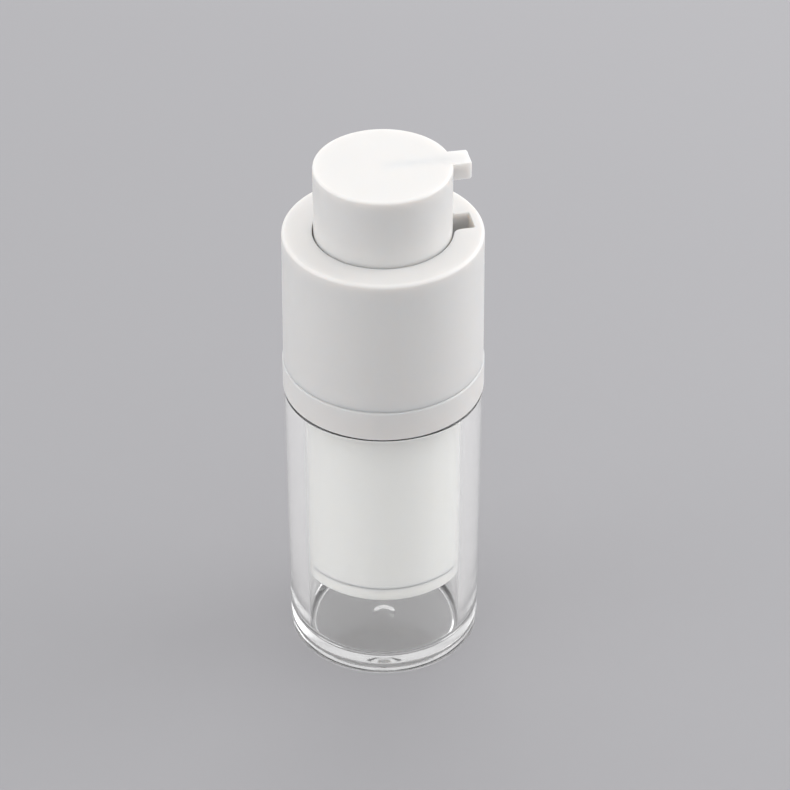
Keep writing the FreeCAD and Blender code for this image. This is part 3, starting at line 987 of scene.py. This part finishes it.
@dataclass
class Cartridge:
    """Milky inner bottle, its base plug and the follower piston."""

    finish: Finish
    wall: float = 1.1 * MM
    shoulder_edge: float = 0.8 * MM
    ceiling_edge: float = 0.4 * MM
    neck_radius: float = 9.6 * MM
    neck_wall: float = 1.2 * MM
    neck_height: float = 4.4 * MM
    bead: float = 0.3 * MM
    bead_rise: float = 1.76 * MM
    plug_rim: float = 2.9 * MM
    plug_plate: float = 1.2 * MM
    plug_skirt_wall: float = 1.1 * MM
    plug_foot: float = 1.6 * MM
    plug_edge: float = 0.7 * MM
    press_fit: float = 0.02 * MM
    vent_radius: float = 0.75 * MM
    lip: float = 1.2 * MM
    waist: float = 0.6 * MM
    piston_wall: float = 1.0 * MM
    piston_tail: float = 0.9 * MM
    piston_edge: float = 0.5 * MM
    well_radius: float = 5.95 * MM

    def __post_init__(self) -> None:
        """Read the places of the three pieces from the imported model."""
        self.low, self.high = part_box("inner_bottle")
        self.plug_low, self.plug_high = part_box("base_plug")
        self.piston_low, self.piston_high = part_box("follower_piston")
        self.radius = self.high.x
        self.bore = self.radius - self.wall

    def inner_bottle(self) -> bpy.types.Object:
        """Turn the inner bottle with its snap neck."""
        top = self.high.z
        shoulder = top - self.neck_height
        ceiling = shoulder - self.wall
        neck_bore = self.neck_radius - self.neck_wall
        bead_low = shoulder + self.bead_rise
        bead_radius = self.neck_radius + self.bead
        return Bench.turn("milky_bottle", [
            Corner(self.bore, self.low.z),
            Corner(self.radius, self.low.z),
            Corner(self.radius, shoulder, self.shoulder_edge),
            Corner(self.neck_radius, shoulder),
            Corner(self.neck_radius, bead_low),
            Corner(bead_radius, bead_low + self.bead),
            Corner(bead_radius, bead_low + 2 * self.bead),
            Corner(self.neck_radius, bead_low + 3 * self.bead),
            Corner(self.neck_radius, top),
            Corner(neck_bore, top),
            Corner(neck_bore, ceiling),
            Corner(self.bore, ceiling, self.ceiling_edge),
        ])

    def base_plug(self) -> bpy.types.Object:
        """Turn the vented plug under the inner bottle."""
        radius = self.bore - self.press_fit
        skirt_bore = radius - self.plug_skirt_wall
        foot_bore = self.radius - self.plug_foot
        plate_top = self.plug_low.z + self.plug_rim
        plate_low = plate_top - self.plug_plate
        return Bench.turn("vented_plug", [
            Corner(self.vent_radius, plate_low),
            Corner(foot_bore, plate_low),
            Corner(foot_bore, self.plug_low.z),
            Corner(self.radius, self.plug_low.z, self.plug_edge),
            Corner(self.radius, plate_top),
            Corner(radius, plate_top),
            Corner(radius, self.plug_high.z),
            Corner(skirt_bore, self.plug_high.z),
            Corner(skirt_bore, plate_top),
            Corner(self.vent_radius, plate_top),
        ])

    def follower(self) -> bpy.types.Object:
        """Turn the piston that follows the product up."""
        low = self.piston_low.z
        top = self.piston_high.z
        lip_radius = self.piston_high.x
        waist_radius = lip_radius - self.waist
        skirt_bore = waist_radius - self.piston_wall
        hub = self.well_radius + self.piston_wall
        hub_low = low + self.piston_tail
        well_floor = hub_low + self.piston_wall
        return Bench.turn("follower", [
            Corner(0.0, hub_low),
            Corner(hub, hub_low),
            Corner(hub, top - self.piston_wall),
            Corner(skirt_bore, top - self.piston_wall),
            Corner(skirt_bore, low),
            Corner(lip_radius, low),
            Corner(lip_radius, low + self.lip),
            Corner(waist_radius, low + self.lip + self.waist),
            Corner(waist_radius, top - self.lip - self.waist),
            Corner(lip_radius, top - self.lip),
            Corner(lip_radius, top, self.piston_edge),
            Corner(self.well_radius, top),
            Corner(self.well_radius, well_floor),
            Corner(0.0, well_floor),
        ])

    def build(self) -> None:
        """Make and seat the three pieces."""
        self.finish.seat(self.inner_bottle(), Body.CARRIER, Slot.MILKY, "inner_bottle")
        self.finish.seat(self.base_plug(), Body.CARRIER, Slot.MILKY, "base_plug")
        self.finish.seat(self.follower(), Body.FOLLOWER, Slot.PISTON, "follower_piston")


@dataclass
class ReturnSpring:
    """Steel coil between the pump's closure and the stem. The real one shortens as the button is pressed.
    """

    finish: Finish
    wire: float = 0.8 * MM
    turns: int = 6
    wire_steps: int = 20
    steps_per_turn: int = 72
    press: float = 3.5 * MM

    def __post_init__(self) -> None:
        """Read the coil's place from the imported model."""
        self.low, self.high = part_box("return_spring")
        self.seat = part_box("pump_closure")[1].z

    def coil(self) -> bpy.types.Object:
        """Wind a ring of the wire up the axis and close its ends."""
        mean = self.high.x - self.wire / 2
        length = self.high.z - self.low.z
        bpy.ops.object.select_all(action="DESELECT")
        bpy.ops.mesh.primitive_circle_add(
            vertices=self.wire_steps,
            radius=self.wire / 2,
            location=(mean, 0.0, self.low.z + self.wire / 2),
            rotation=(math.pi / 2, 0.0, 0.0),
        )
        coil = Bench.settle("spring_coil")
        wind = coil.modifiers.new("wind", "SCREW")
        wind.axis = "Z"
        wind.angle = math.tau
        wind.screw_offset = (length - self.wire) / self.turns
        wind.iterations = self.turns
        wind.steps = self.steps_per_turn
        wind.render_steps = self.steps_per_turn
        bpy.ops.object.modifier_apply(modifier=wind.name)
        Bench.edit(coil)
        bpy.ops.mesh.select_all(action="SELECT")
        bpy.ops.mesh.fill_holes(sides=0)
        Bench.close()
        return coil

    def build(self) -> None:
        """Wind and seat the coil, and give it a mesh of its own."""
        coil = self.coil()
        self.finish.seat(coil, Body.CARRIER, Slot.STEEL, "return_spring")
        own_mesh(coil)


@dataclass
class Works:
    """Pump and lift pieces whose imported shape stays, dressed in their finishes."""

    finish: Finish

    def build(self) -> None:
        """Dress each carried-over node with the finish of its slot."""
        slots = {row["node"]: Slot(row["material_slot"]) for row in frame["record"]["subparts"]}
        for name, node in frame["nodes"].items():
            if not node.hide_render:
                self.finish.dress(node, slots[name])
                LOG.info("%s: packed shape in %s", name, slots[name].value)


@dataclass
class Lamp:
    """Soft rectangular studio lamp.

    One that isn't mirrored lights what it shines on, but shows in no reflection and through no plastic.
    """

    name: str
    place: Place
    width: float
    height: float
    power: float
    aim: Place = (0.0, 0.0, 0.05)
    mirrored: bool = True

    def hang(self) -> None:
        """Put the lamp up and turn it to its aim."""
        data = bpy.data.lights.new(self.name, "AREA")
        data.shape = "RECTANGLE"
        data.size = self.width
        data.size_y = self.height
        data.energy = self.power
        lamp = bpy.data.objects.new(self.name, data)
        lamp.location = self.place
        lamp.visible_camera = False
        lamp.visible_glossy = self.mirrored
        lamp.visible_transmission = self.mirrored
        facing = Vector(self.aim) - Vector(self.place)
        lamp.rotation_euler = facing.to_track_quat("-Z", "Y").to_euler()
        bpy.context.scene.collection.objects.link(lamp)


@dataclass
class Studio:
    """Pale seamless floor, soft lamps and the camera."""

    floor_size: float = 6.0
    floor_drop: float = 0.03 * MM
    floor_tint: Tint = (0.322, 0.319, 0.333)
    floor_second: Tint = (0.312, 0.309, 0.323)
    sky: float = 0.88
    backdrop: Tint = (0.48, 0.478, 0.49)
    mirrored_backdrop: Tint = (0.8, 0.798, 0.803)
    bounces: int = 12
    lens: float = 133.45
    sensor: float = 36.0
    camera_place: Place = (-0.07675, -0.40547, 0.35577)
    camera_pitch: float = 53.47
    camera_heading: float = -11.0

    def floor(self) -> None:
        """Lay the floor a hair below the foot."""
        bpy.ops.object.select_all(action="DESELECT")
        bpy.ops.mesh.primitive_plane_add(size=self.floor_size, location=(0.0, 0.0, -self.floor_drop))
        floor = bpy.context.object
        floor.name = "studio_floor"
        paper = StudioPaper(
            "seamless paper", self.floor_tint, self.floor_second,
            roughness=0.75, spread=0.1, grain=0.4 * MM, relief=0.004 * MM, cloud=120.0 * MM,
        )
        floor.data.materials.append(paper.material())

    def world(self) -> None:
        """Light the room softly, and show a backdrop that is paler in reflections and through plastic."""
        world = bpy.data.worlds.new("studio")
        bpy.context.scene.world = world
        world.use_nodes = True
        board = Board(world.node_tree)
        room = board.node("ShaderNodeBackground", {}, {"Color": (*WHITE, 1.0), "Strength": self.sky})
        for ray, tint in (
            ("Is Camera Ray", self.backdrop),
            ("Is Glossy Ray", self.mirrored_backdrop),
            ("Is Transmission Ray", self.mirrored_backdrop),
        ):
            backdrop = board.node("ShaderNodeBackground", {}, {"Color": (*tint, 1.0), "Strength": 1.0})
            seen = board.node("ShaderNodeLightPath", output=ray)
            room = board.node("ShaderNodeMixShader", {}, {0: seen, 1: room, 2: backdrop})
        board.node("ShaderNodeOutputWorld", {}, {"Surface": room})

    def lamps(self) -> None:
        """Hang a large overhead softbox, one softbox at each side and one over the floor behind."""
        for lamp in (
            Lamp("overhead_softbox", (0.04, 0.0, 0.62), width=0.8, height=0.7, power=0.8),
            Lamp("left_softbox", (-0.45, -0.02, 0.2), width=0.35, height=0.45, power=0.72),
            Lamp("right_softbox", (0.45, 0.0, 0.22), width=0.35, height=0.45, power=1.24),
            Lamp(
                "back_softbox", (0.1, 0.45, 0.3), width=0.4, height=0.3, power=0.7,
                aim=(0.05, 0.25, 0.0), mirrored=False,
            ),
        ):
            lamp.hang()

    def camera(self) -> None:
        """Stand the camera where the photograph was taken from."""
        data = bpy.data.cameras.new("studio_camera")
        data.lens = self.lens
        data.sensor_width = self.sensor
        camera = bpy.data.objects.new("studio_camera", data)
        camera.location = self.camera_place
        camera.rotation_euler = (math.radians(self.camera_pitch), 0.0, math.radians(self.camera_heading))
        bpy.context.scene.collection.objects.link(camera)
        bpy.context.scene.camera = camera

    def depth(self) -> None:
        """Let light bounce on inside the clear base, which guides it from back to front."""
        cycles = bpy.context.scene.cycles
        cycles.max_bounces = self.bounces
        cycles.glossy_bounces = self.bounces
        cycles.transmission_bounces = self.bounces
        cycles.transparent_max_bounces = self.bounces

    def build(self) -> None:
        """Set the whole studio up."""
        bpy.context.scene.view_settings.view_transform = "Standard"
        self.depth()
        self.floor()
        self.world()
        self.lamps()
        self.camera()


def main() -> None:
    """Build the bottle and the studio."""
    logging.basicConfig(level=logging.INFO, format="%(message)s")
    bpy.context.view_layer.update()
    finish = Finish()
    for assembly in (
        ClearBottle(finish),
        TurningCollar(finish),
        PushButton(finish),
        Cartridge(finish),
        ReturnSpring(finish),
        Works(finish),
        Studio(),
    ):
        assembly.build()


if __name__ == "__main__":
    main()
